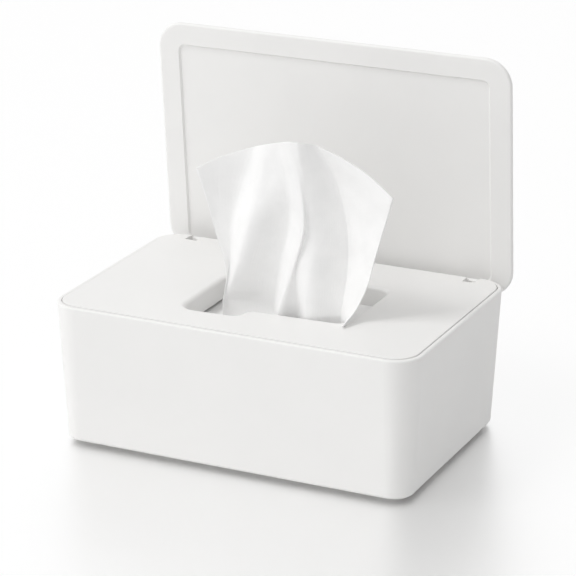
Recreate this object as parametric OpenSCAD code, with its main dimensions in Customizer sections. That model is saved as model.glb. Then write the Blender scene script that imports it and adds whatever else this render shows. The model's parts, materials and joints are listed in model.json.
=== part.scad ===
// Wet wipes dispenser: a drafted box, a drop-in panel with a wave-shaped opening, a hinged lid and wipes.
// Millimetres. X runs across the width, -Y is the front and Z is up. The origin lies on the standing
// surface, under the middle of the box. The lid is drawn standing open.

/* [Box] */
// Width of the box across its rim
box_width = 190; // [160:1:240]
// Depth of the box across its rim
box_depth = 124; // [110:1:170]
// Height of the rim above the standing surface
rim_height = 72.5; // [62:0.5:110]
// Corner radius at the rim
corner_radius = 14; // [11:0.5:22]
// How far each side draws in between the rim and the base
side_draft = 3.8; // [1:0.1:5]
// Thickness of the side walls
wall = 2; // [1.6:0.1:2.6]
// Thickness of the floor
floor_thick = 2.2; // [1.6:0.1:3.5]
// Rounding where the walls meet the base
base_round = 2; // [1:0.25:3]
// Width of the rim's flat top, which is also the rebate's wall
rim_width = 2; // [1.6:0.1:2.6]
// Rounding of the rim's outer edge
rim_round = 0.9; // [0.4:0.1:1.2]
// Width of the ledge that carries the panel
ledge_width = 1.6; // [1:0.1:2.5]
// How far the rim is cut down between the hinge arms
rear_cut = 1.2; // [0.5:0.1:1.4]

/* [Plinth] */
// Height of the plinth that the box stands on
plinth_height = 2; // [1:0.25:4]
// Distance from the base's outer face to the plinth
plinth_inset = 7; // [5:0.5:12]
// Corner radius of the plinth
plinth_round = 5; // [4:0.5:8]

/* [Top panel] */
// Thickness of the panel
panel_thick = 2; // [1.5:0.1:3]
// How far the panel's top stands above the rim
panel_rise = 0.45; // [0.2:0.05:0.6]
// Gap all round between the panel and the rim
panel_gap = 0.4; // [0.2:0.05:0.6]
// Rounding of the panel's outer top edge
panel_round = 0.5; // [0.2:0.1:0.8]

/* [Dispensing opening] */
// Place of the opening's middle across the width
opening_x = 6; // [-10:0.5:10]
// Place of the opening's middle across the depth
opening_y = -6; // [-10:0.5:4]
// Length of the opening across the width
opening_length = 81.4; // [76:0.2:95]
// Depth of each of the two lobes of the wave
lobe_depth = 53.5; // [48:0.5:60]
// How far one lobe is shifted against the other
lobe_shift = 12.5; // [8:0.5:14]
// Distance of each step of the wave from the opening's middle
step_place = 11.3; // [8:0.1:14]
// Corner radius of the opening
opening_round = 7; // [4:0.5:9]
// Rounding of the opening's top edge
lip_round = 1.5; // [0.6:0.1:1.7]
// Width of the softer roll of that edge on the corner of each tongue
tongue_roll = 5.4; // [2:0.1:6]
// Height of that roll
tongue_fall = 2.8; // [1.8:0.1:3.4]
// Depth of the collar below the panel
collar_depth = 8.5; // [2:0.25:9]
// Wall of the collar
collar_wall = 1.6; // [1.2:0.1:2.4]

/* [Lid] */
// Thickness of the lid
lid_thick = 2.8; // [2.2:0.1:4]
// How much smaller the lid is than the rim on each side
lid_margin = 0.2; // [0:0.05:0.5]
// Rounding of the lid's edges
lid_round = 1.1; // [0.5:0.1:1.1]
// Width of the raised border on the sides and at the front of the lid's recess
lid_border = 10.9; // [8:0.1:16]
// Width of that border along the hinge
hinge_border = 6.6; // [6:0.1:12]
// Depth of the recess in the lid's inner face
recess_depth = 1; // [0.5:0.1:1.4]
// Corner radius of the recess
recess_round = 4; // [2:0.5:8]
// Width of the slope from the border down into the recess
recess_slope = 0.9; // [0.4:0.1:1.5]
// Gap between the closed lid and the rim
closing_gap = 0.75; // [0.7:0.05:1.2]
// Angle at which the lid stands open
lid_open = 85; // [60:1:95]

/* [Hinge] */
// Distance of the hinge axis in front of the rim's rear face
axis_inset = 4; // [3.8:0.1:4.6]
// Depth of the hinge axis below the rim
axis_depth = 6.8; // [6.6:0.1:9]
// Distance of each hinge arm from the rim's side face
hinge_inset = 18.5; // [17:0.5:35]
// Width of a hinge arm
arm_width = 5.6; // [4:0.1:8]
// Half the thickness of a hinge arm, the radius of its round end
arm_round = 2.4; // [2.2:0.1:2.6]
// Radius of the stub pins
pin_radius = 1.45; // [1.2:0.05:1.6]
// Running clearance between a pin and its bearing
pin_clearance = 0.05; // [0.02:0.01:0.09]
// Length of each stub pin
pin_length = 2.6; // [2:0.1:3]
// Gap beside a hinge arm in its notch
arm_gap = 0.4; // [0.3:0.05:0.8]
// Width of a bearing cheek
cheek_width = 3; // [2.5:0.1:3.5]
// Wall of a bearing cheek round its bore
cheek_wall = 1.7; // [1.3:0.1:2]
// Depth of the hinge notches in the panel's rear edge
panel_notch_depth = 6.8; // [5.5:0.1:9]
// Gap between the rim's rear edge and the groove in the lid that lets it pass
relief_gap = 0.3; // [0.2:0.05:0.5]

/* [Wipes] */
// Gap between the stack and the sunk floor's wall
stack_gap = 1; // [0.5:0.25:8]
// Headroom between the stack and the collar above it
stack_headroom = 0.6; // [0.4:0.2:30]
// Corner radius of the stack
stack_round = 3; // [1:0.5:6]
// Height of the pulled wipe above the panel at its highest fold
wipe_rise = 82; // [60:1:95]
// Thickness of the pulled wipe as it stands
wipe_thick = 0.8; // [0.4:0.1:1.2]
// Gap between the pulled wipe and the stack it comes from
wipe_seat = 0.3; // [0.1:0.05:0.5]
// Gap between the pulled wipe and the opening's front lip
lip_gap = 0.5; // [0.3:0.1:1]

/* [Hidden] */
$fn = 64;
overlap = 0.5;
cut = 1;
sharp_round = 0.1;
plastic = [0.93, 0.93, 0.92];
paper = [0.97, 0.97, 0.96];

// Box: the corner axes are the same at every height, so a level is given by its radius round them
core_x = box_width - 2 * corner_radius;
core_y = box_depth - 2 * corner_radius;
base_radius = corner_radius - side_draft;
draft_angle = atan(side_draft / (rim_height - plinth_height));
step_top = plinth_height + floor_thick;
plinth_x = box_width - 2 * (side_draft + plinth_inset);
plinth_y = box_depth - 2 * (side_draft + plinth_inset);
panel_top = rim_height + panel_rise;
ledge_z = panel_top - panel_thick;
rebate_radius = corner_radius - rim_width;
ledge_radius = rebate_radius - ledge_width;

// Radius of the outer face round the corner axes at a height
function side_radius(z) =
    corner_radius - side_draft * (rim_height - z) / (rim_height - plinth_height);

// Hinge
hinge_place = box_width / 2 - hinge_inset;
axis_y = box_depth / 2 - axis_inset;
axis_z = rim_height - axis_depth;
bore_radius = pin_radius + pin_clearance;
cheek_radius = bore_radius + cheek_wall;
notch_width = arm_width + 2 * arm_gap;
notch_floor = axis_z - arm_round - arm_gap;
lid_face = axis_depth + closing_gap;
rim_swing = norm([axis_inset - rim_round, axis_depth - rim_round]) + rim_round;
lid_width = box_width - 2 * lid_margin;
lid_depth = box_depth - 2 * lid_margin;
lid_radius = corner_radius - lid_margin;
relief_radius = rim_swing + relief_gap;

// Panel
panel_inset = rim_width + panel_gap;
panel_width = box_width - 2 * panel_inset;
panel_depth = box_depth - 2 * panel_inset;
panel_radius = corner_radius - panel_inset;
panel_rear = panel_depth / 2;

// Opening
half_length = opening_length / 2;
half_shift = lobe_shift / 2;
near_edge = lobe_depth / 2 - half_shift;
far_edge = lobe_depth / 2 + half_shift;
roll_width = min(tongue_roll, half_shift - overlap);
corner_soft = 0.3;
arc_steps = 7;
lip_steps = 4;
edge_steps = 4;

// Wipes
stack_top = ledge_z - collar_depth - stack_headroom;
stack_width = plinth_x - 2 * (wall + stack_gap);
stack_depth = plinth_y - 2 * (wall + stack_gap);
wipe_drop = panel_top - stack_top - wipe_seat;
at_lip = (lip_gap + wipe_thick / 2) / near_edge - 1;
fold_steps = 4;
rise_steps = 12;
drop_steps = 2;

// Points of an arc with its ends, from one angle to another
function arc(centre, radius, from, to, steps) =
    [for (k = [0:steps]) let (a = from + (to - from) * k / steps)
        [centre[0] + radius * cos(a), centre[1] + radius * sin(a)]];

// Outline of the wave-shaped opening, grown by an offset: each lobe has round outer corners,
// and a tongue between two opposite arcs steps in from the front and from the back
function half_wave(grow) = concat(
    arc([-half_length + opening_round, -far_edge + opening_round], opening_round + grow, 180, 270, arc_steps),
    arc([-step_place - half_shift, -far_edge + half_shift], half_shift + grow, 270, 360, arc_steps),
    arc([-step_place + half_shift, -far_edge + half_shift], half_shift - grow, 180, 90, arc_steps),
    arc([half_length - opening_round, -near_edge + opening_round], opening_round + grow, 270, 360, arc_steps)
);
function wave(grow) = concat(half_wave(grow), [for (p = half_wave(grow)) -p]);

// Closed solid through rings of points of equal count, from the lowest to the highest. Its ends are
// flat, or where the ring is thin, strips of triangles between the ring's two sides
module loft(rings, thin = false) {
    n = len(rings[0]);
    last = (len(rings) - 1) * n;
    sides = [for (a = [0:n:last - n], i = [0:n - 1], upper = [0, 1]) let (j = (i + 1) % n, b = a + n)
        upper == 0 ? [a + i, b + i, a + j] : [a + j, b + i, b + j]];
    bottom = thin
        ? [for (i = [0:n / 2 - 2], upper = [0, 1]) let (j = n - 1 - i)
            upper == 0 ? [i, i + 1, j] : [i + 1, j - 1, j]]
        : [[for (i = [0:n - 1]) i]];
    top = [for (face = bottom) [for (i = [len(face) - 1:-1:0]) last + face[i]]];
    points = [for (ring = rings, p = ring) p];
    polyhedron(points, concat(bottom, top, sides), convexity = 6);
}

// Rectangle with round corners, centred
module round_rect(x, y, radius) {
    square([x - 2 * radius, y], center = true);
    square([x, y - 2 * radius], center = true);
    for (sx = [-1, 1], sy = [-1, 1])
        translate([sx * (x / 2 - radius), sy * (y / 2 - radius)]) circle(radius);
}

// Carries a profile, drawn as (radius round the corner axis, height), round a rectangle of corner axes
module carry_round(x, y) {
    for (k = [0:3]) {
        along = k % 2 == 0 ? y : x;
        out = k % 2 == 0 ? x : y;
        rotate([0, 0, 90 * k]) {
            translate([out / 2, along / 2, 0]) rotate_extrude(angle = 90) children();
            translate([out / 2, along / 2, 0]) rotate([90, 0, 0]) linear_extrude(along) children();
        }
    }
}

// Plate with round corners and rounded edges, standing on z = 0
module edged_plate(x, y, radius, thick, lower_round, upper_round) {
    edge = concat(
        [[0, 0]],
        arc([radius - lower_round, lower_round], lower_round, 270, 360, edge_steps),
        arc([radius - upper_round, thick - upper_round], upper_round, 0, 90, edge_steps),
        [[0, thick]]
    );
    carry_round(x - 2 * radius, y - 2 * radius) polygon(edge);
    translate([-x / 2 + radius, -y / 2 + radius, 0]) cube([x - 2 * radius, y - 2 * radius, thick]);
}

// Section of the box's wall, from the rounded base to the rim with its rebate and ledge
module wall_section() {
    inner_base = side_radius(step_top) - wall;
    ledge_foot = ledge_z - 2 * ledge_width;
    polygon(concat(
        [[inner_base - overlap, plinth_height]],
        arc([base_radius - base_round, plinth_height + base_round], base_round, 270, 360 - draft_angle,
            edge_steps),
        arc([corner_radius - rim_round, rim_height - rim_round], rim_round, 0, 90, edge_steps),
        [
            [rebate_radius, rim_height],
            [rebate_radius, ledge_z],
            [ledge_radius, ledge_z],
            [ledge_radius, ledge_z - ledge_width],
            [side_radius(ledge_foot) - wall, ledge_foot],
            [inner_base, step_top],
            [inner_base - overlap, step_top]
        ]
    ));
}

// Places its children at the two hinge arms, with the hinge axis along X through the origin
module at_hinges() {
    for (side = [-1, 1]) translate([side * hinge_place, axis_y, axis_z]) children();
}

// Bearing cheeks that stand in from the rear wall on both sides of a hinge arm
module cheeks() {
    reach = axis_inset - wall / 2 - (corner_radius - side_radius(axis_z));
    for (side = [-1, 1])
        translate([side * (notch_width + cheek_width) / 2 - cheek_width / 2, 0, 0])
            rotate([90, 0, 90]) linear_extrude(cheek_width) {
                circle(cheek_radius);
                translate([0, -cheek_radius]) square([reach, 2 * cheek_radius]);
            }
}

module box() {
    notch_height = rim_height - notch_floor + cut;
    color(plastic) difference() {
        union() {
            carry_round(core_x, core_y) wall_section();
            translate([0, 0, plinth_height]) linear_extrude(floor_thick)
                round_rect(core_x + 2 * (base_radius - base_round), core_y + 2 * (base_radius - base_round),
                    base_radius - base_round);
            linear_extrude(plinth_height + overlap) round_rect(plinth_x, plinth_y, plinth_round);
            at_hinges() cheeks();
        }
        translate([0, 0, floor_thick]) linear_extrude(plinth_height + cut)
            round_rect(plinth_x - 2 * wall, plinth_y - 2 * wall, plinth_round - wall);
        at_hinges() rotate([0, 90, 0])
            cylinder(r = bore_radius, h = notch_width + 2 * (cheek_width + cut), center = true);
        for (side = [-1, 1])
            translate([side * hinge_place - notch_width / 2, axis_y - cheek_radius - cut, notch_floor])
                cube([notch_width, axis_inset + cheek_radius + 2 * cut, notch_height]);
        translate([-hinge_place, box_depth / 2 - rim_width - overlap, rim_height - rear_cut])
            cube([2 * hinge_place, rim_width + overlap + cut, rear_cut + cut]);
    }
}

// How soft the opening's edge is at a point of half the wave: a little at the lobes' corners, more and
// more along the arc that leads to the tongue, and fully round the tongue's own corner
function softness(i) = let (count = arc_steps + 1, t = i % count / arc_steps)
    i < count || i >= 3 * count ? corner_soft : i < 2 * count ? t * t * (3 - 2 * t) : 1;

// Ring of the opening's rounded edge at an angle, from 0 at the wall to 90 at the panel's top
function lip_ring(a) = let (foot = wave(0), out = wave(1) - foot) [for (i = [0:len(foot) - 1])
    let (
        soft = softness(i % (len(foot) / 2)),
        width = lip_round + (roll_width - lip_round) * soft,
        height = lip_round + (tongue_fall - lip_round) * soft,
        p = foot[i] + width * (1 - cos(a)) * out[i]
    ) [p[0], p[1], panel_thick - height * (1 - sin(a))]];

// Cutter for the opening: straight through the collar, opening out over the rounded edge
module opening_cutter() {
    low = [for (p = wave(0)) [p[0], p[1], -collar_depth - cut]];
    lip = [for (k = [0:lip_steps]) lip_ring(90 * k / lip_steps)];
    high = [for (p = lip[lip_steps]) [p[0], p[1], panel_thick + cut]];
    loft(concat([low], lip, [high]));
}

module top_panel() {
    color(plastic) translate([0, 0, ledge_z]) difference() {
        union() {
            edged_plate(panel_width, panel_depth, panel_radius, panel_thick, sharp_round, panel_round);
            translate([opening_x, opening_y, -collar_depth]) linear_extrude(collar_depth + overlap)
                polygon(wave(collar_wall));
        }
        translate([opening_x, opening_y, 0]) opening_cutter();
        for (side = [-1, 1])
            translate([side * hinge_place - notch_width / 2, panel_rear - panel_notch_depth, -cut])
                cube([notch_width, panel_notch_depth + cut, panel_thick + 2 * cut]);
    }
}

// One hinge arm, upright on the axis, with its stub pins
module hinge_arm() {
    root = relief_radius + overlap;
    rotate([90, 0, 90]) translate([0, 0, -arm_width / 2]) linear_extrude(arm_width) {
        circle(arm_round);
        translate([-arm_round, 0]) square([2 * arm_round, root]);
    }
    rotate([0, 90, 0]) cylinder(r = pin_radius, h = arm_width + 2 * pin_length, center = true);
}

// Cutter for the lid's recess, with sloping edges
module recess_cutter() {
    core_x = lid_width - 2 * (lid_border + recess_round);
    core_y = lid_depth - lid_border - hinge_border - 2 * recess_round;
    mouth = recess_round + recess_slope * cut / recess_depth;
    carry_round(core_x, core_y)
        polygon([[0, -cut], [mouth, -cut], [recess_round - recess_slope, recess_depth], [0, recess_depth]]);
    translate([-core_x / 2, -core_y / 2, -cut]) cube([core_x, core_y, recess_depth + cut]);
}

// The lid lies closed over the axis and is then turned up
module lid() {
    color(plastic) translate([0, axis_y, axis_z]) rotate([-lid_open, 0, 0]) {
        translate([0, -axis_y, lid_face]) difference() {
            edged_plate(lid_width, lid_depth, lid_radius, lid_thick, lid_round, lid_round);
            translate([0, (lid_border - hinge_border) / 2, 0]) recess_cutter();
            translate([0, axis_y, -lid_face]) rotate([0, 90, 0])
                cylinder(r = relief_radius, h = lid_width + 2 * cut, center = true);
        }
        for (side = [-1, 1]) translate([side * hinge_place, 0, 0]) hinge_arm();
    }
}

module wipe_stack() {
    color(paper) translate([0, 0, floor_thick])
        edged_plate(stack_width, stack_depth, stack_round, stack_top - floor_thick, stack_round / 6,
            stack_round / 2);
}

// Fold lines of the pulled wipe from its left edge to its right edge: four points from the lip to the top
// edge, as shares of half the opening's length and of its near edge, and the share of the full rise
folds = [
    [[-0.64, -0.78], [-0.66, -0.68], [-0.86, -0.56], [-1.07, -0.49], 0.76],
    [[-0.62, -0.75], [-0.61, -0.61], [-0.56, -0.35], [-0.41, -0.20], 0.91],
    [[-0.56, -0.93], [-0.31, -0.89], [-0.13, -0.73], [0.11, -0.54], 0.99],
    [[-0.04, -0.59], [0.03, -0.42], [0.15, -0.44], [0.15, -0.57], 1],
    [[0.11, at_lip], [0.29, -0.70], [0.35, -0.62], [0.19, -0.59], 1],
    [[0.29, -0.68], [0.33, -0.66], [0.38, -0.57], [0.23, -0.56], 1],
    [[0.46, at_lip], [0.42, -0.65], [0.43, -0.50], [0.27, -0.51], 1],
    [[0.80, -0.55], [0.80, -0.10], [0.71, 0], [0.48, -0.15], 0.96],
    [[0.84, -0.75], [1.07, -0.50], [1.12, -0.44], [1.05, -0.54], 0.90],
    [[0.86, -0.90], [1.19, -0.71], [1.35, -0.66], [1.53, -0.78], 0.78]
];

// Point of a curve that runs through the first four points of a list, each a third further along
function bend(p, t) = let (a = 3 * t)
    (1 - a) * (2 - a) * (3 - a) / 6 * p[0] + a * (2 - a) * (3 - a) / 2 * p[1]
    - a * (1 - a) * (3 - a) / 2 * p[2] + a * (1 - a) * (2 - a) / 6 * p[3];

// Point of a fold line at a share of its rise
function on_fold(f, t) = let (p = bend(f, t)) [p[0] * half_length, p[1] * near_edge, t * f[4] * wipe_rise];

// Point between two fold lines: it moves evenly across, and rolls smoothly in depth
function between(f, g, s, t) = let (
    a = on_fold(f, t), b = on_fold(g, t), roll = (1 - cos(180 * s)) / 2
) [a[0] + (b[0] - a[0]) * s, a[1] + (b[1] - a[1]) * roll, a[2] + (b[2] - a[2]) * s];

// One row of the wipe across its width, at a share of its rise and lowered into the box
function wipe_row(t, lower) = [for (k = [0:(len(folds) - 1) * fold_steps])
    let (i = min(floor(k / fold_steps), len(folds) - 2))
    let (p = between(folds[i], folds[i + 1], k / fold_steps - i, t))
    [p[0], p[1], p[2] - lower]];

// A row given its thickness, as a closed ring
function thick_row(row) = concat(
    [for (p = row) [p[0], p[1] - wipe_thick / 2, p[2]]],
    [for (k = [len(row) - 1:-1:0]) [row[k][0], row[k][1] + wipe_thick / 2, row[k][2]]]
);

module pulled_wipe() {
    inside = [for (k = [0:drop_steps - 1]) wipe_row(0, wipe_drop * (1 - k / drop_steps))];
    above = [for (k = [0:rise_steps]) wipe_row(k / rise_steps, 0)];
    color(paper) translate([opening_x, opening_y, panel_top])
        loft([for (row = concat(inside, above)) thick_row(row)], thin = true);
}

box();
top_panel();
lid();
wipe_stack();
pulled_wipe();
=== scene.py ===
"""Looks of a wet wipes dispenser: white mouldings, a stack of folded wipes and the wipe drawn out of it.

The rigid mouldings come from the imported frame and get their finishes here. The stack and the pulled wipe
are surfaces worked out on grids with numpy, and they stand for the plain solids of the frame. Lengths are
in metres, in the frame's own axes: +Z up, -Y to the front, the origin under the middle of the box.
"""

from __future__ import annotations

import json
import logging
from dataclasses import dataclass
from enum import Enum

import bpy
import numpy as np
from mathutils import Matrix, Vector

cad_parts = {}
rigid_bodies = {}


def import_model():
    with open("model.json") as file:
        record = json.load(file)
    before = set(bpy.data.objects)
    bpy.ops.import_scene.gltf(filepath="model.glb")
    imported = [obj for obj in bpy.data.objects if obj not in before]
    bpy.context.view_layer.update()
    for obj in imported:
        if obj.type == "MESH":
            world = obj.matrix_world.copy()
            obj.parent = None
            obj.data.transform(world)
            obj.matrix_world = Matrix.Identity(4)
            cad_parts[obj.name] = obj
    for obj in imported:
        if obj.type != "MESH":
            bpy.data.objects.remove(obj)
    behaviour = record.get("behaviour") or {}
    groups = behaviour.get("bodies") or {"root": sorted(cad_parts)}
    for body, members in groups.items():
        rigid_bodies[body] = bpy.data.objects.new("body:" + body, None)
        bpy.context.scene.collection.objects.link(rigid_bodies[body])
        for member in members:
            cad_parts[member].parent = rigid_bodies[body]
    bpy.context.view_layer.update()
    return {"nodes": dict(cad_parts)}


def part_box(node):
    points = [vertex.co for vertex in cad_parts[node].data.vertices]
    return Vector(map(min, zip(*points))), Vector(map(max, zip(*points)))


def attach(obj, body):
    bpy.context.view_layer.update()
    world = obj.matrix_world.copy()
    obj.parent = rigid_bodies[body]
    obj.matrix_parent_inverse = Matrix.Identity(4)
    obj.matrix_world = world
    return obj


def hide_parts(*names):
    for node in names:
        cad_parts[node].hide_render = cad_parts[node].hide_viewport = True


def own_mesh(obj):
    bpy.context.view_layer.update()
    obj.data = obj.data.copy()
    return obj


MM = 0.001
LOG = logging.getLogger("wipes_dispenser")

Colour = tuple[float, float, float]
Point = tuple[float, float, float]
Range = tuple[float, float]
Socket = bpy.types.NodeSocket

# The panel's opening: a bar whose front and rear edges each step back once along its length
OPENING_X = 6 * MM
OPENING_Y = -6 * MM
OPENING_LENGTH = 81.4 * MM
LOBE_DEPTH = 53.5 * MM
LOBE_SHIFT = 12.5 * MM
STEP_PLACE = 11.3 * MM
STEP_REACH = 8 * MM

# The wipe ends just above the stack, and its pattern follows a map named for the web it was cut from
WIPE_SEAT = 0.3 * MM
WEB_MAP = "web"
BASE_BODY = "base"

# A direction whose cosine is smaller than this runs along an axis
ON_AXIS = 1e-9

# The stacked cloth is painted a little darker than the drawn one: painted shade for the dim inside of the
# box
STACK_PAINTED_SHADE_COLOUR: Colour = (0.84, 0.837, 0.83)
STACK_PAINTED_SHADE_CLOUD: Colour = (0.81, 0.808, 0.802)

# Facts of Blender's nodes: the colour sockets of Mix, the length of one band of Wave at a scale of 1, the
# span that holds most values of a noise, and a diffuse depth between none and one
MIX_FIRST = 6
MIX_SECOND = 7
MIX_RESULT = 2
WAVE_BAND = 2 * np.pi / 20
NOISE_SPAN: Range = (0.3, 0.7)
UNIT_SPAN: Range = (0.0, 1.0)
FIRST_BOUNCE = 0.5
EVEN_SCATTER = (1.0, 1.0, 1.0)


class Slot(Enum):
    """Material slots of the record."""

    BOX = "box_plastic"
    PANEL = "panel_plastic"
    LID = "lid_plastic"
    WIPE = "wipe_fabric"


class Grid(Enum):
    """How a grid of points closes into a surface."""

    SHEET = "sheet"
    TUBE = "tube"


class Output(Enum):
    """Output node of a node tree."""

    MATERIAL = "ShaderNodeOutputMaterial"
    WORLD = "ShaderNodeOutputWorld"


@dataclass(frozen=True)
class Grain:
    """A noise: the size of its largest grains, in metres, and its octaves of finer grain."""

    size: float
    detail: float


def opaque(colour: Colour) -> tuple[float, float, float, float]:
    """The colour with full opacity, as the sockets take it."""
    return (*colour, 1.0)


class NodeBoard:
    """The node tree of a material or of the world, with short ways to add nodes and join them."""

    def __init__(self, owner: bpy.types.Material | bpy.types.World, output: Output) -> None:
        """Empties the owner's node tree down to its output.

        Args:
            owner: material or world.
            output: kind of output node.
        """
        owner.use_nodes = True
        self.owner = owner
        self.tree = owner.node_tree
        self.tree.nodes.clear()
        self.output = self.add(output.value)

    def add(
        self, kind: str, inputs: dict[str | int, object] | None = None, **settings: object
    ) -> bpy.types.Node:
        """Adds a node.

        Args:
            kind: type name of the node.
            inputs: values by the input's name or number; a socket is linked, and any other value is set.
            settings: properties of the node, such as operation or data_type.

        Returns:
            The new node.
        """
        node = self.tree.nodes.new(kind)
        for name, value in settings.items():
            setattr(node, name, value)
        for name, value in (inputs or {}).items():
            if isinstance(value, Socket):
                self.tree.links.new(value, node.inputs[name])
            else:
                node.inputs[name].default_value = value
        return node

    def show(self, shader: Socket) -> None:
        """Links a shader to the output's surface."""
        self.tree.links.new(shader, self.output.inputs["Surface"])

    def math(self, operation: str, first: Socket, second: Socket | float) -> Socket:
        """Value socket of a calculation with two values, by the operation's name."""
        return self.add("ShaderNodeMath", {0: first, 1: second}, operation=operation).outputs["Value"]

    def noise(self, where: Socket, grain: Grain) -> Socket:
        """Adds a noise.

        Args:
            where: coordinates in metres.
            grain: size and detail of the noise.

        Returns:
            The noise's value socket, from 0 to 1.
        """
        inputs = {"Scale": 1.0 / grain.size, "Detail": grain.detail, "Vector": where}
        return self.add("ShaderNodeTexNoise", inputs).outputs["Fac"]

    def ramp(self, value: Socket, span: Range, ends: tuple[Socket | float, float]) -> Socket:
        """Maps a value in a straight line, held at both ends.

        Args:
            value: value to map.
            span: values at which the line starts and ends.
            ends: results at the start and at the end.

        Returns:
            The mapped value socket.
        """
        inputs = {
            "Value": value,
            "From Min": span[0],
            "From Max": span[1],
            "To Min": ends[0],
            "To Max": ends[1],
        }
        return self.add("ShaderNodeMapRange", inputs).outputs["Result"]

    def tint(self, value: Socket, low: Colour, high: Colour) -> Socket:
        """Runs between two colours along a value from 0 to 1.

        Args:
            value: share of the second colour.
            low: colour at 0.
            high: colour at 1.

        Returns:
            The colour socket.
        """
        inputs = {"Factor": value, MIX_FIRST: opaque(low), MIX_SECOND: opaque(high)}
        return self.add("ShaderNodeMix", inputs, data_type="RGBA").outputs[MIX_RESULT]

    def bump(self, height: Socket, depth: float, below: Socket | None = None) -> Socket:
        """Adds a bump.

        Args:
            height: height as a value from 0 to 1.
            depth: depth of the bump in metres.
            below: normal of a coarser bump that this one lies on.

        Returns:
            The normal socket.
        """
        inputs = {"Height": height, "Distance": depth}
        if below is not None:
            inputs["Normal"] = below
        return self.add("ShaderNodeBump", inputs).outputs["Normal"]


@dataclass(frozen=True)
class MouldedPlastic:
    """Satin white plastic with the fine even grain of an eroded mould.

    The colour drifts very slightly over centimetres, the roughness varies over millimetres, and the bump is
    a fine grain over a faint, wider waviness from the cooling of the moulding.
    """

    name: str
    colour: Colour = (0.866, 0.860, 0.848)
    shade: Colour = (0.850, 0.845, 0.834)
    drift: Grain = Grain(45 * MM, 2.0)
    roughness: Range = (0.36, 0.46)
    roughness_grain: Grain = Grain(3 * MM, 3.0)
    wave: Grain = Grain(18 * MM, 1.0)
    wave_depth: float = 0.05 * MM
    texture: Grain = Grain(0.42 * MM, 2.0)
    texture_depth: float = 0.012 * MM
    specular: float = 0.42
    translucence: float = 0.06
    translucence_depth: float = 1.2 * MM

    def material(self) -> bpy.types.Material:
        """Builds the node material.

        Returns:
            The plastic's material.
        """
        board = NodeBoard(bpy.data.materials.new(self.name), Output.MATERIAL)
        where = board.add("ShaderNodeTexCoord").outputs["Object"]
        drift = board.ramp(board.noise(where, self.drift), NOISE_SPAN, UNIT_SPAN)
        wave = board.bump(board.noise(where, self.wave), self.wave_depth)
        inputs = {
            "Base Color": board.tint(drift, self.colour, self.shade),
            "Roughness": board.ramp(board.noise(where, self.roughness_grain), NOISE_SPAN, self.roughness),
            "Specular IOR Level": self.specular,
            "Subsurface Weight": self.translucence,
            "Subsurface Scale": self.translucence_depth,
            "Subsurface Radius": EVEN_SCATTER,
            "Normal": board.bump(board.noise(where, self.texture), self.texture_depth, wave),
        }
        board.show(board.add("ShaderNodeBsdfPrincipled", inputs).outputs["BSDF"])
        return board.owner


@dataclass(frozen=True)
class Nonwoven:
    """Soft white nonwoven cloth: crossed fibres pressed flat, with faint lines along the web.

    The pattern follows the cloth through its UV map, which is in metres across and along the web. The turns
    of the fibres are in radians from the web's length.
    """

    name: str
    colour: Colour = (0.918, 0.915, 0.910)
    shade: Colour = (0.885, 0.883, 0.878)
    cloud: Grain = Grain(9 * MM, 4.0)
    roughness: float = 0.85
    specular: float = 0.25
    sheen: float = 0.12
    sheen_roughness: float = 0.5
    softness: float = 0.2
    softness_depth: float = 2.0 * MM
    fibre: Grain = Grain(0.35 * MM, 3.0)
    fibre_stretch: float = 7.0
    fibre_turns: tuple[float, ...] = (0.35, -0.6)
    fibre_depth: float = 0.05 * MM
    line_pitch: float = 1.1 * MM
    line_waver: float = 1.5
    line_depth: float = 0.02 * MM

    def fibres(self, board: NodeBoard, where: Socket, turn: float) -> Socket:
        """Noise drawn out into fibres along one direction.

        Args:
            board: node tree of the material.
            where: coordinates in metres.
            turn: direction of the fibres.

        Returns:
            The value socket of the fibres.
        """
        inputs = {
            "Rotation": (0.0, 0.0, turn),
            "Scale": (1.0, self.fibre_stretch, 1.0),
            "Vector": where,
        }
        mapping = board.add("ShaderNodeMapping", inputs, vector_type="TEXTURE")
        return board.noise(mapping.outputs["Vector"], self.fibre)

    def relief(self, board: NodeBoard, where: Socket) -> Socket:
        """Pressed lines with the fibres of each direction over them.

        Args:
            board: node tree of the material.
            where: coordinates in metres.

        Returns:
            The normal socket.
        """
        inputs = {
            "Scale": WAVE_BAND / self.line_pitch,
            "Distortion": self.line_waver,
            "Vector": where,
        }
        lines = board.add("ShaderNodeTexWave", inputs, wave_type="BANDS", bands_direction="X")
        normal = board.bump(lines.outputs["Fac"], self.line_depth)
        for turn in self.fibre_turns:
            normal = board.bump(self.fibres(board, where, turn), self.fibre_depth, normal)
        return normal

    def material(self) -> bpy.types.Material:
        """Builds the node material.

        Returns:
            The cloth's material.
        """
        board = NodeBoard(bpy.data.materials.new(self.name), Output.MATERIAL)
        where = board.add("ShaderNodeUVMap", uv_map=WEB_MAP).outputs["UV"]
        cloud = board.ramp(board.noise(where, self.cloud), NOISE_SPAN, UNIT_SPAN)
        inputs = {
            "Base Color": board.tint(cloud, self.colour, self.shade),
            "Roughness": self.roughness,
            "Specular IOR Level": self.specular,
            "Subsurface Weight": self.softness,
            "Subsurface Scale": self.softness_depth,
            "Subsurface Radius": EVEN_SCATTER,
            "Sheen Weight": self.sheen,
            "Sheen Roughness": self.sheen_roughness,
            "Normal": self.relief(board, where),
        }
        board.show(board.add("ShaderNodeBsdfPrincipled", inputs).outputs["BSDF"])
        return board.owner


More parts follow.
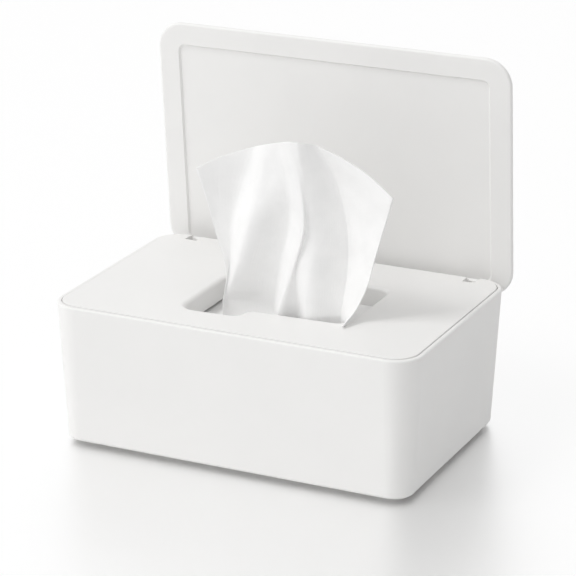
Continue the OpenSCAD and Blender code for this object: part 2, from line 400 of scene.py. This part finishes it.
def cubic(
    start: np.ndarray, end: np.ndarray, leave: np.ndarray, arrive: np.ndarray, s: np.ndarray
) -> np.ndarray:
    """Cubic between two values that leaves the first and arrives at the second with given slopes.

    Args:
        start: value at 0.
        end: value at 1.
        leave: slope at 0.
        arrive: slope at 1.
        s: places from 0 to 1.

    Returns:
        The cubic's values at the places.
    """
    return (
        start * (1 + 2 * s) * (1 - s) ** 2
        + leave * s * (1 - s) ** 2
        + end * s**2 * (3 - 2 * s)
        + arrive * s**2 * (s - 1)
    )


def smooth(share: np.ndarray) -> np.ndarray:
    """Ramp from 0 to 1 over shares from 0 to 1, level at both ends."""
    return cubic(0.0, 1.0, 0.0, 0.0, np.clip(share, 0.0, 1.0))


def through(values: np.ndarray, at: np.ndarray) -> np.ndarray:
    """Smooth curve through values at even steps, with the mean slope of the neighbours at each value.

    Args:
        values: values along the last axis, at even steps from 0 to 1.
        at: places to read, from 0 to 1.

    Returns:
        The curve's values, with the places along the last axis.
    """
    steps = values.shape[-1] - 1
    low = np.clip((at * steps).astype(int), 0, steps - 1)
    high = low + 1
    slope = np.gradient(values, axis=-1)
    return cubic(values[..., low], values[..., high], slope[..., low], slope[..., high], at * steps - low)


def grid_object(
    name: str, points: np.ndarray, closing: Grid, web: np.ndarray | None = None
) -> bpy.types.Object:
    """Makes a smooth mesh object from a grid of points.

    Neighbouring points of two rows make one quad. A tube also joins the last column to the first.

    Args:
        name: name of the object.
        points: rows x columns x 3 positions in metres.
        closing: how the grid closes.
        web: rows x columns x 2 places on the web in metres, for cloth.

    Returns:
        The new object, linked to the scene.
    """
    rows, columns = points.shape[:2]
    index = np.arange(rows * columns).reshape(rows, columns)
    if closing is Grid.TUBE:
        index = np.concatenate([index, index[:, :1]], axis=1)
    corners = [index[:-1, :-1], index[:-1, 1:], index[1:, 1:], index[1:, :-1]]
    quads = np.stack(corners, axis=-1).reshape(-1, 4)
    mesh = bpy.data.meshes.new(name)
    mesh.from_pydata(points.reshape(-1, 3).tolist(), [], quads.tolist())
    if web is not None:
        corner = np.zeros(len(mesh.loops), dtype=np.int32)
        mesh.loops.foreach_get("vertex_index", corner)
        layer = mesh.uv_layers.new(name=WEB_MAP)
        layer.data.foreach_set("uv", web.reshape(-1, 2)[corner].astype(np.float32).ravel())
    mesh.polygons.foreach_set("use_smooth", np.ones(len(mesh.polygons), dtype=bool))
    mesh.update()
    piece = bpy.data.objects.new(name, mesh)
    bpy.context.scene.collection.objects.link(piece)
    return piece


@dataclass(frozen=True)
class Fold:
    """One fold line of the pulled wipe, at even steps from the lip to the top edge.

    Places are in millimetres from the middle of the opening. The crease is how sharp the fold is: 0 is a
    soft roll and 1 a straight crease.
    """

    across: tuple[float, float, float, float, float]
    depth: tuple[float, float, float, float, float]
    rise: float
    crease: float = 0.0


@dataclass
class PulledWipe:
    """The wipe that stands in the opening, fanned out from its gathers at the lip.

    Places among the folds are counted in folds from the left edge. A gather with a higher power stays
    longer below its place at the lip, before it turns to the line where the cloth leaves the stack.
    """

    middle: Point
    foot: float

    # Grid of the cloth, above and below the lip
    columns: int = 220
    rows: int = 120
    rows_inside: int = 12
    thickness: float = 0.4 * MM

    # Creases stay sharp up to a share of the rise and fade over another; the least panel is in millimetres
    crease_full: float = 0.4
    crease_fade: float = 0.5
    least_panel: float = 0.2

    # Small creases, which grow from nothing at the lip to full size at a height
    crinkle: float = 0.44 * MM
    crinkle_count: int = 14
    crinkle_lengths: Range = (7 * MM, 26 * MM)
    crinkle_turn: float = 0.55
    crinkle_full: float = 15 * MM
    seed: int = 7

    # Gathers below the lip
    source: float = -13.0 * MM
    power_left: float = 1.8
    power_right: float = 3.5
    power_fold: float = 3.5
    splay: float = 1.5 * MM
    splay_folds: float = 4.0

    # Bulge of the right edge over the lip
    drape: float = 9.0 * MM
    drape_height: float = 0.8 * MM
    drape_above: float = 3.2 * MM
    drape_below: float = 0.9 * MM

    # Cloth within its flat rectangle, and height left under the closed lid, as shares
    cloth_share: float = 0.9
    pressed_share: float = 0.1

    folds: tuple[Fold, ...] = (
        Fold((-26.5, -24.5, -30.5, -35.5, -41.0), (-16.0, -15.5, -14.5, -14.0, -14.5), 64.0),
        Fold((-26.0, -24.0, -28.0, -31.0, -30.5), (-16.0, -14.5, -12.0, -10.0, -8.5), 69.5),
        Fold((-25.5, -23.5, -24.5, -21.0, -15.5), (-15.5, -14.0, -9.5, -6.0, -4.5), 75.0),
        Fold((-24.5, -17.5, -12.5, -9.0, -6.5), (-14.0, -18.0, -16.5, -10.0, -8.0), 78.5),
        Fold((-2.5, 0.0, 4.5, 4.0, 1.5), (-9.0, -8.5, -7.0, -10.0, -10.5), 81.0, 0.3),
        Fold((5.0, 10.5, 15.5, 13.0, 8.0), (-19.5, -15.5, -14.0, -13.0, -12.0), 82.5),
        Fold((12.5, 11.5, 16.0, 14.5, 10.5), (-14.0, -14.0, -12.0, -12.5, -12.0), 82.5),
        Fold((19.5, 18.5, 19.0, 17.5, 13.5), (-19.5, -15.0, -11.0, -10.5, -10.5), 82.0),
        Fold((34.0, 33.5, 32.0, 27.5, 19.5), (-12.0, -3.5, -1.0, -2.0, -6.0), 80.0, 0.9),
        Fold((38.0, 43.5, 45.5, 45.5, 42.5), (-17.0, -11.0, -9.0, -9.0, -11.0), 73.5),
        Fold((41.5, 48.0, 52.0, 56.5, 62.0), (-19.0, -15.0, -13.5, -13.5, -16.0), 63.0),
    )

    def fold_lines(self, share: np.ndarray) -> np.ndarray:
        """Fold lines as smooth curves through their places, at heights that are shares of each fold's rise.

        Args:
            share: shares of the rise, from 0 at the lip to 1 at the top edge.

        Returns:
            Rows x folds x 3 positions from the opening's middle, in millimetres.
        """
        across = through(np.array([f.across for f in self.folds], float), share)
        depth = through(np.array([f.depth for f in self.folds], float), share)
        rise = np.array([f.rise for f in self.folds])[:, None] * share
        return np.stack([across, depth, rise], axis=-1).swapaxes(0, 1)

    def last_panel(self) -> int:
        """Number of the fold that starts the last panel, at the right edge."""
        return len(self.folds) - 2

    def places(self) -> np.ndarray:
        """Place of each column among the folds, as a fold's number and a share of the panel after it.

        The columns are even along the cloth at half its height.

        Returns:
            One place per column.
        """
        middle = self.fold_lines(np.array([0.5]))[0]
        width = np.linalg.norm(np.diff(middle, axis=0), axis=1)
        at = np.concatenate([[0.0], np.cumsum(width)])
        return np.interp(np.linspace(0.0, at[-1], self.columns), at, np.arange(len(self.folds)))

    def rolled(self, values: np.ndarray, width: np.ndarray, crease: np.ndarray) -> np.ndarray:
        """Values between the folds, rolling from one fold to the next by a cubic.

        A ridge or a valley is level, any other fold has the harmonic mean of the slopes of the two panels
        beside it, and a free edge has the slope that leaves it unbent. A crease takes each panel's own
        slope.

        Args:
            values: rows x folds values.
            width: rows x panels widths.
            crease: rows x folds sharpness.

        Returns:
            Rows x columns values.
        """
        steep = np.diff(values, axis=1) / width
        before = steep[:, :-1]
        after = steep[:, 1:]
        both = before + after
        mean = 2 * before * after / np.where(both == 0, 1.0, both)
        inner = np.where(before * after > 0, mean, 0.0)
        first = 1.5 * steep[:, :1] - 0.5 * inner[:, :1]
        last = 1.5 * steep[:, -1:] - 0.5 * inner[:, -1:]
        slope = np.concatenate([first, inner, last], axis=1)
        place = self.places()
        left = np.clip(place.astype(int), 0, self.last_panel())
        leave = slope[:, left] + (steep[:, left] - slope[:, left]) * crease[:, left]
        arrive = slope[:, left + 1] + (steep[:, left] - slope[:, left + 1]) * crease[:, left + 1]
        wide = width[:, left]
        return cubic(values[:, left], values[:, left + 1], leave * wide, arrive * wide, place - left)

    def fan(self, share: np.ndarray) -> np.ndarray:
        """Surface between the fold lines.

        Across a panel between two folds the width runs evenly, and the depth and the height roll. Creases
        fade out towards the top edge.

        Args:
            share: shares of the rise.

        Returns:
            Rows x columns x 3 positions from the opening's middle, in millimetres.
        """
        lines = self.fold_lines(share)
        place = self.places()
        left = np.clip(place.astype(int), 0, self.last_panel())
        start = lines[:, left, 0]
        end = lines[:, left + 1, 0]
        width = np.maximum(np.diff(lines[..., 0], axis=1), self.least_panel)
        fade = smooth((share[:, None] - self.crease_full) / self.crease_fade)
        crease = np.array([f.crease for f in self.folds]) * (1 - fade)
        depth = self.rolled(lines[..., 1], width, crease)
        height = self.rolled(lines[..., 2], width, np.zeros_like(crease))
        return np.stack([start + (end - start) * (place - left), depth, height], axis=-1)

    def crinkles(self, web: np.ndarray) -> np.ndarray:
        """Small uneven creases: a sum of waves of several lengths, most of them along the pull.

        Args:
            web: rows x columns x 2 places on the cloth, in metres.

        Returns:
            Rows x columns heights in metres.
        """
        draw = np.random.default_rng(self.seed)
        length = draw.uniform(*self.crinkle_lengths, self.crinkle_count)
        turn = draw.normal(0.0, self.crinkle_turn, self.crinkle_count)
        phase = draw.uniform(0.0, 2 * np.pi, self.crinkle_count)
        wave = np.stack([np.cos(turn), np.sin(turn)]) * 2 * np.pi / length
        height = np.sin(web @ wave + phase) * length
        return self.crinkle * height.sum(axis=-1) / length.sum()

    def gathers(self, lip: np.ndarray) -> np.ndarray:
        """Cloth below the lip.

        The height falls evenly to the foot. The depth runs to the line where the cloth leaves the stack
        by a power of the fall, which rises from the left gathers to the right ones. By the same power
        the left gathers splay outwards.

        Args:
            lip: columns x 3 positions at the lip, from the opening's middle.

        Returns:
            Rows x columns x 3 positions from the opening's middle, from the foot up.
        """
        place = self.places()
        fall = np.linspace(1.0, 0.0, self.rows_inside, endpoint=False)[:, None]
        power = self.power_left + (self.power_right - self.power_left) * smooth(place - self.power_fold)
        turned = fall**power
        across = lip[:, 0] - self.splay * (1 - smooth(place / self.splay_folds)) * turned
        depth = lip[:, 1] + (self.source - lip[:, 1]) * turned
        height = np.broadcast_to((self.foot - self.middle[2]) * fall, depth.shape)
        return np.stack([across, depth, height], axis=-1)

    def surface(self) -> tuple[np.ndarray, np.ndarray]:
        """Whole cloth from the stack up to its top edge.

        The fan stands on the gathers. Crinkles move it in depth, and just above the lip the right edge
        bulges forward, as a bell curve of the height, and drapes over the lip. The web's map is the mean
        distance across the cloth and the height along it.

        Returns:
            Rows x columns x 3 positions in metres, and rows x columns x 2 places on the cloth.
        """
        fan = self.fan(np.linspace(0.0, 1.0, self.rows)) * MM
        points = np.concatenate([self.gathers(fan[0]), fan])
        step = np.linalg.norm(np.diff(points, axis=1), axis=2).mean(axis=0)
        across = np.concatenate([[0.0], np.cumsum(step)])
        height = points[..., 2]
        web = np.stack([np.broadcast_to(across, height.shape), height], axis=-1)
        points[..., 1] += self.crinkles(web) * np.clip(height / self.crinkle_full, 0.0, 1.0)
        edge = np.clip(self.places() - self.last_panel(), 0.0, 1.0) ** 2
        lift = height - self.drape_height
        spread = np.where(lift > 0, self.drape_above, self.drape_below)
        points[..., 1] -= self.drape * edge * np.exp(-((lift / spread) ** 2))
        return points + np.array(self.middle), web

    def build(self, finish: Nonwoven) -> bpy.types.Object:
        """Builds and dresses the wipe.

        Args:
            finish: cloth finish.

        Returns:
            The wipe's object.
        """
        points, web = self.surface()
        piece = grid_object("drawn_wipe", points, Grid.SHEET, web)
        thick = piece.modifiers.new("cloth thickness", "SOLIDIFY")
        thick.thickness = self.thickness
        thick.offset = 0.0
        piece.data.materials.append(finish.material())
        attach(piece, BASE_BODY)
        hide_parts("pulled_wipe")
        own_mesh(piece)
        return piece


@dataclass
class FoldedStack:
    """The pile of folded wipes in the box, layer on layer."""

    low: Vector
    high: Vector

    # Outline and layers
    corner: float = 3 * MM
    corner_steps: int = 65
    layer: float = 2.3 * MM
    edge_round: float = 0.7 * MM
    stray: float = 0.5 * MM
    seed: int = 11

    # Grid of the surface
    around: int = 240
    rows_per_layer: int = 6
    rings: int = 90
    weld: float = 0.001 * MM

    # Rise of the top inside the panel's opening, and its dip at the opening's left end
    swell: float = 1.9 * MM
    swell_gap: float = 0.5 * MM
    swell_ramp: float = 2.8 * MM
    left_ramp: float = 12.0 * MM
    dip: float = 1.0 * MM
    dip_across: float = 13.0 * MM
    dip_back: float = 26.0 * MM

    def outline(self) -> np.ndarray:
        """Rounded rectangle of the stack, in even steps.

        It is a circle of the corner's radius whose quarters are moved out to the four corners.

        Returns:
            Columns x 2 places from the middle of the stack.
        """
        half = np.array([self.high.x - self.low.x, self.high.y - self.low.y]) / 2
        angle = np.linspace(0.0, 2 * np.pi, self.corner_steps)
        turn = np.stack([np.cos(angle), np.sin(angle)], axis=-1)
        side = np.where(np.abs(turn) > ON_AXIS, np.sign(turn), 0.0)
        corners = side * (half - self.corner) + turn * self.corner
        length = np.concatenate([[0.0], np.cumsum(np.linalg.norm(np.diff(corners, axis=0), axis=1))])
        at = np.linspace(0.0, length[-1], self.around, endpoint=False)
        return np.stack([np.interp(at, length, corners[:, k]) for k in (0, 1)], axis=-1)

    def swelling(self, flat: np.ndarray) -> np.ndarray:
        """How far the top rises where the panel's opening leaves it free.

        The opening is a bar whose front and rear edges each step back along a smooth ramp. The rise is a
        smooth ramp of the distance inside the nearest of its edges, gentler at the left end. There the top
        also dips, as a bell curve of the distance from the middle of that end.

        Args:
            flat: rows x columns x 2 places on the top.

        Returns:
            Rows x columns heights in metres.
        """
        along = flat[..., 0] - OPENING_X
        back = flat[..., 1] - OPENING_Y
        front_step = smooth((along + STEP_PLACE) / (2 * STEP_REACH) + 0.5)
        rear_step = smooth((along - STEP_PLACE) / (2 * STEP_REACH) + 0.5)
        front = back + LOBE_DEPTH / 2 + LOBE_SHIFT * (0.5 - front_step)
        rear = LOBE_DEPTH / 2 + LOBE_SHIFT * (rear_step - 0.5) - back
        left = OPENING_LENGTH / 2 + along
        right = OPENING_LENGTH / 2 - along
        inside = np.min([front, rear, left * self.swell_ramp / self.left_ramp, right], axis=0)
        rise = self.swell * smooth((inside - self.swell_gap) / self.swell_ramp)
        away = (left / self.dip_across) ** 2 + (back / self.dip_back) ** 2
        return rise - self.dip * np.exp(-away)

    def surface(self) -> np.ndarray:
        """Closed surface of the stack.

        Each layer's edge is a half circle in section, and strays a little from the layers beside it. The
        underside and the top are rings that shrink to a point, and the top swells into the panel's opening.

        Returns:
            Rows x columns x 3 positions in metres, from the pole below to the pole above.
        """
        draw = np.random.default_rng(self.seed)
        height = self.high.z - self.low.z
        layers = int(round(height / self.layer))
        s = (np.arange(self.rows_per_layer) + 0.5) / self.rows_per_layer
        inset = self.edge_round * (1 - np.sqrt(4 * s * (1 - s)))
        stray = draw.uniform(0.0, self.stray, layers)
        inward = (inset[None, :] + stray[:, None]).ravel()
        level = (np.arange(layers)[:, None] + s[None, :]).ravel() * height / layers
        edge = self.outline()
        reach = np.linalg.norm(edge, axis=1).mean()
        ring = np.linspace(0.0, 1.0, self.rings, endpoint=False)
        scale = np.concatenate([ring, 1 - inward / reach, ring[::-1]])
        rise = np.concatenate([np.zeros(self.rings), level, np.full(self.rings, height)])
        middle = np.array([(self.low.x + self.high.x) / 2, (self.low.y + self.high.y) / 2])
        flat = middle + scale[:, None, None] * edge[None]
        lift = np.repeat((self.low.z + rise)[:, None], len(edge), axis=1)
        lift[-self.rings :] += self.swelling(flat[-self.rings :])
        return np.concatenate([flat, lift[..., None]], axis=-1)

    def build(self, finish: Nonwoven) -> bpy.types.Object:
        """Builds and dresses the stack.

        The web's map is the place across, and the place to the rear plus the height. The points that meet
        at each pole are welded.

        Args:
            finish: cloth finish.

        Returns:
            The stack's object.
        """
        points = self.surface()
        web = points[..., :2].copy()
        web[..., 1] += points[..., 2]
        piece = grid_object("folded_wipes", points, Grid.TUBE, web)
        piece.data.materials.append(finish.material())
        weld = piece.modifiers.new("closed poles", "WELD")
        weld.merge_threshold = self.weld
        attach(piece, BASE_BODY)
        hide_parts("wipe_stack")
        return piece


@dataclass
class Moulding:
    """A rigid moulding of the frame, which keeps its solid and gets its finish."""

    node: bpy.types.Object
    slot: Slot

    def dress(self, finish: MouldedPlastic) -> bpy.types.Object:
        """Gives the moulding its plastic.

        Args:
            finish: plastic finish.

        Returns:
            The moulding's object.
        """
        self.node.data.materials.clear()
        self.node.data.materials.append(finish.material())
        return self.node


def stand(name: str, data: bpy.types.ID, place: Point, aim: Point) -> bpy.types.Object:
    """Puts up a lamp or a camera that looks at a point.

    Args:
        name: name of the object.
        data: lamp or camera.
        place: where it stands.
        aim: point that it looks at.

    Returns:
        The new object, linked to the scene.
    """
    item = bpy.data.objects.new(name, data)
    bpy.context.scene.collection.objects.link(item)
    item.location = place
    item.rotation_mode = "QUATERNION"
    item.rotation_quaternion = (Vector(aim) - Vector(place)).to_track_quat("-Z", "Y")
    return item


@dataclass(frozen=True)
class SoftLamp:
    """One large square lamp that looks at the dispenser."""

    name: str
    place: Point
    size: float
    power: float
    aim: Point = (0.0, 0.0, 0.08)

    def light(self) -> bpy.types.Object:
        """Makes the lamp.

        Returns:
            The lamp's object.
        """
        lamp = bpy.data.lights.new(self.name, "AREA")
        lamp.shape = "SQUARE"
        lamp.size = self.size
        lamp.energy = self.power
        return stand(self.name, lamp, self.place, self.aim)


@dataclass
class Studio:
    """Pale glossy floor, white surroundings and soft lamps."""

    floor_size: float = 12.0
    floor_points: int = 5
    floor_colour: Colour = (0.97, 0.97, 0.97)
    floor_mirror: float = 0.88
    floor_roughness: float = 0.36
    white: Colour = (1.0, 1.0, 1.0)
    seen_strength: float = 1.0
    ambient: float = 0.71
    ambient_tilt: float = 0.18
    lamps: tuple[SoftLamp, ...] = (
        SoftLamp("key lamp", (-2.9, -2.4, 4.9), 2.4, 126.0),
        SoftLamp("front fill", (0.9, -5.2, 2.6), 4.0, 20.0),
    )

    def floor_material(self) -> bpy.types.Material:
        """Glossy white floor: a matt white under a soft mirror.

        Returns:
            The floor's material.
        """
        board = NodeBoard(bpy.data.materials.new("studio floor"), Output.MATERIAL)
        matt = board.add("ShaderNodeBsdfDiffuse", {"Color": opaque(self.floor_colour)})
        gloss = {"Color": opaque(self.white), "Roughness": self.floor_roughness}
        mirror = board.add("ShaderNodeBsdfGlossy", gloss)
        layers = {"Fac": self.floor_mirror, 1: matt.outputs["BSDF"], 2: mirror.outputs["BSDF"]}
        board.show(board.add("ShaderNodeMixShader", layers).outputs["Shader"])
        return board.owner

    def floor(self) -> bpy.types.Object:
        """Lays the floor: a plane of a few cells, at the standing surface.

        Returns:
            The floor's object.
        """
        side = np.linspace(-self.floor_size / 2, self.floor_size / 2, self.floor_points)
        x, y = np.meshgrid(side, side)
        piece = grid_object("floor", np.stack([x, y, np.zeros_like(x)], axis=-1), Grid.SHEET)
        piece.data.materials.append(self.floor_material())
        return piece

    def surroundings(self) -> None:
        """White surroundings: full white where seen or mirrored, and a gentler light on the object.

        The light on the object runs evenly from brighter at the left to dimmer at the right. A mirror only
        shows the full white to rays that have met no matt surface, so it adds no light to the object.
        """
        board = NodeBoard(bpy.data.worlds.new("studio"), Output.WORLD)
        path = board.add("ShaderNodeLightPath").outputs
        mirrored = board.math("MAXIMUM", path["Is Glossy Ray"], path["Is Transmission Ray"])
        straight = board.math("LESS_THAN", path["Diffuse Depth"], FIRST_BOUNCE)
        seen = board.math("MAXIMUM", path["Is Camera Ray"], board.math("MULTIPLY", mirrored, straight))
        direction = board.add("ShaderNodeTexCoord").outputs["Generated"]
        across = board.add("ShaderNodeSeparateXYZ", {"Vector": direction}).outputs["X"]
        bright = self.ambient * (1 + self.ambient_tilt)
        dim = self.ambient * (1 - self.ambient_tilt)
        light = board.ramp(across, (-1.0, 1.0), (bright, dim))
        strength = board.ramp(seen, UNIT_SPAN, (light, self.seen_strength))
        sky = {"Color": opaque(self.white), "Strength": strength}
        board.show(board.add("ShaderNodeBackground", sky).outputs["Background"])
        bpy.context.scene.world = board.owner

    def build(self) -> None:
        """Builds the whole studio."""
        self.floor()
        self.surroundings()
        for lamp in self.lamps:
            lamp.light()


@dataclass(frozen=True)
class PhotoCamera:
    """Camera at the photograph's viewing angle, from above the front right."""

    place: Point = (0.53206, -1.11671, 0.51315)
    aim: Point = (0.00378, 0.0, 0.07576)
    focal_pixels: float = 2708.2
    frame_pixels: float = 576.0
    sensor: float = 36.0
    near: float = 0.05
    far: float = 50.0

    def build(self) -> bpy.types.Object:
        """Makes the camera and sets it as the scene's camera.

        Returns:
            The camera's object.
        """
        data = bpy.data.cameras.new("photo camera")
        data.sensor_width = self.sensor
        data.lens = self.focal_pixels / self.frame_pixels * self.sensor
        data.clip_start = self.near
        data.clip_end = self.far
        camera = stand("photo camera", data, self.place, self.aim)
        bpy.context.scene.camera = camera
        return camera


def clear_scene() -> None:
    """Removes the objects that a new file starts with."""
    for item in list(bpy.data.objects):
        bpy.data.objects.remove(item)


def main() -> None:
    """Loads the frame, dresses the mouldings, builds the wipes and the studio, and reports each piece."""
    logging.basicConfig(level=logging.INFO, format="%(name)s: %(message)s")
    clear_scene()
    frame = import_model()
    bpy.context.scene.view_settings.view_transform = "Standard"
    PhotoCamera().build()
    Studio().build()
    pieces = [
        Moulding(frame["nodes"][node], slot).dress(MouldedPlastic(slot.value))
        for node, slot in (("box", Slot.BOX), ("top_panel", Slot.PANEL), ("lid", Slot.LID))
    ]
    stack_low, stack_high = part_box("wipe_stack")
    panel_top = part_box("top_panel")[1].z
    opening = (OPENING_X, OPENING_Y, panel_top)
    stack = FoldedStack(stack_low, stack_high)
    wipe = PulledWipe(opening, stack_high.z + stack.swell + WIPE_SEAT)
    # The stack's cloth takes the darker colours, painted shade for the dim inside of the box
    pieces.append(stack.build(Nonwoven("stacked cloth", STACK_PAINTED_SHADE_COLOUR, STACK_PAINTED_SHADE_CLOUD)))
    pieces.append(wipe.build(Nonwoven("pulled cloth")))
    for piece in pieces:
        LOG.info("%s: %d faces", piece.name, len(piece.data.polygons))


if __name__ == "__main__":
    main()
